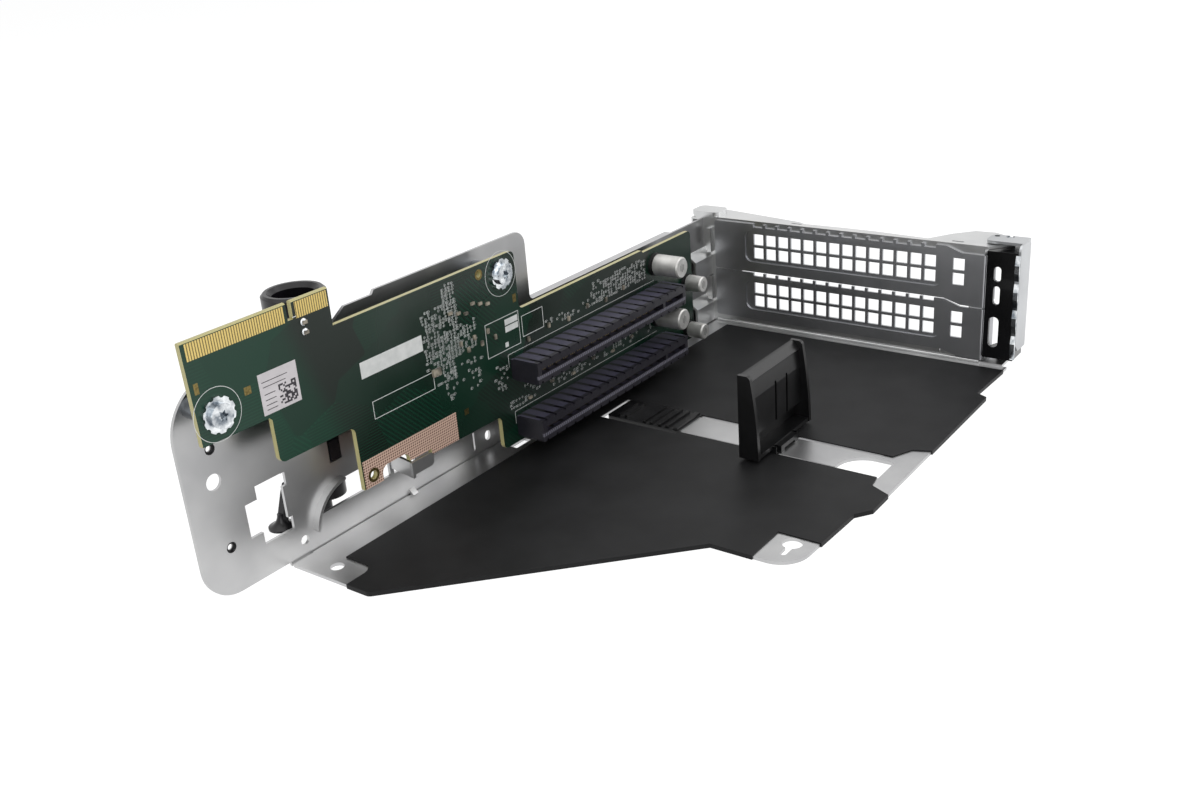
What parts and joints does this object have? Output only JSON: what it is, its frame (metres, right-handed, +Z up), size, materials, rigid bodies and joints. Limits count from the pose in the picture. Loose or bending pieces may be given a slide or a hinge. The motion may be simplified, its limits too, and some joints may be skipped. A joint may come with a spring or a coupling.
{
  "type": "server riser assembly",
  "caption": "Sheet-steel server riser cage lying on its flat cover, with a riser board, card slots, vented filler brackets, an end latch and a sliding card holder.",
  "frame": {"origin": "on the underside of the flat cover, in line with the filler brackets' inner faces and the board's component face", "axes": "+X along the board towards the filler brackets' outer side, +Y from the card bay out through the board's back, +Z up from the flat cover"},
  "size_m": [0.2763, 0.1523, 0.0802],
  "materials": {
    "zinc_sheet": "zinc-plated sheet steel, satin",
    "bracket_steel": "rolled steel, satin",
    "black_film": "thin insulating film, matt",
    "board_green": "green solder mask over glass-fibre laminate, glossy",
    "gold_plate": "gold-plated copper",
    "slot_black": "moulded connector plastic, satin",
    "can_aluminium": "drawn aluminium, satin",
    "can_base_black": "moulded plastic, matt",
    "screw_steel": "bright zinc plate",
    "latch_black": "black coated steel, glossy",
    "spring_steel": "bright spring steel",
    "holder_black": "moulded plastic, satin",
    "label_white": "printed paper label, matt",
    "part_ceramic": "ceramic chip parts with tinned ends"
  },
  "bodies": {
    "cage": {"cage_sheet": "zinc_sheet", "rear_wall": "zinc_sheet", "insulating_film": "black_film", "riser_board": "board_green", "edge_fingers": "gold_plate", "lower_slot": "slot_black", "upper_slot": "slot_black", "lower_slot_contacts": "gold_plate", "upper_slot_contacts": "gold_plate", "large_cans": "can_aluminium", "large_can_bases": "can_base_black", "small_cans": "can_aluminium", "small_can_bases": "can_base_black", "board_screws": "screw_steel", "board_standoffs": "screw_steel", "lower_filler_bracket": "bracket_steel", "upper_filler_bracket": "bracket_steel", "latch_pin": "spring_steel", "holder_catch": "holder_black", "guide_sleeve": "holder_black", "board_label": "label_white", "surface_mount_parts": "part_ceramic"},
    "holder": {"card_holder": "holder_black"},
    "latch": {"bracket_latch": "latch_black", "latch_cover": "zinc_sheet", "emi_spring": "spring_steel"}
  },
  "joints": [
    {"name": "holder_slide", "type": "slide", "parent": "cage", "child": "holder", "axis": [0, -1, 0], "range_m": [-0.026, 0.03]},
    {"name": "latch_hinge", "type": "hinge", "parent": "cage", "child": "latch", "pos_m": [0.0112, -0.1124, 0], "axis": [0, 0, 1], "range_deg": [0, 90]}
  ]
}
